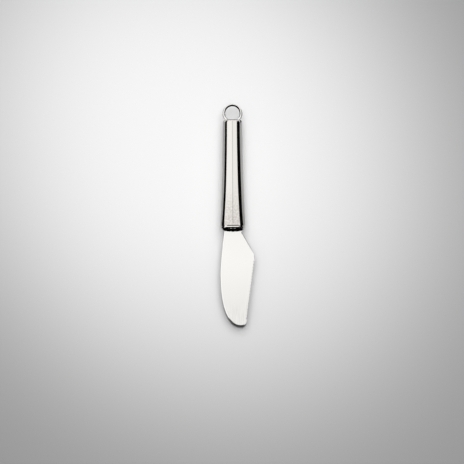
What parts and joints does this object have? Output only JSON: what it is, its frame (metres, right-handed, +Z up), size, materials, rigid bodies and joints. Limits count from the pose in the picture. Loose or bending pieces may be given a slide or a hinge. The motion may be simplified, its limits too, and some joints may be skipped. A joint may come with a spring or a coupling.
{
  "type": "butter knife",
  "caption": "Butter knife with a full-bellied serrated blade, a hollow round flared steel handle and a swinging ring to hang it by.",
  "frame": {"origin": "Under the middle of the knife's length and width, on the level that the handle's widest part lies on", "axes": "+Y along the handle towards the hanging ring, +X towards the cutting edge, +Z up, square to the flat of the blade"},
  "size_m": [0.0308, 0.2, 0.022],
  "materials": {
    "handle_steel": "lengthwise satin polish",
    "cap_steel": "turned and polished",
    "blade_steel": "fine satin with a ground serrated bevel",
    "wire_steel": "bright drawn wire",
    "filler_resin": "cast, unfinished"
  },
  "bodies": {
    "knife": {"handle_tube": "handle_steel", "ring_cap": "cap_steel", "front_cap": "cap_steel", "tang_filler": "filler_resin", "blade": "blade_steel"},
    "ring": {"hanging_ring": "wire_steel"}
  },
  "joints": [
    {"name": "ring_swing", "type": "hinge", "parent": "knife", "child": "ring", "pos_m": [-0.00395, 0.0852, 0.011], "axis": [1, 0, 0], "range_deg": [-20, 20]}
  ]
}
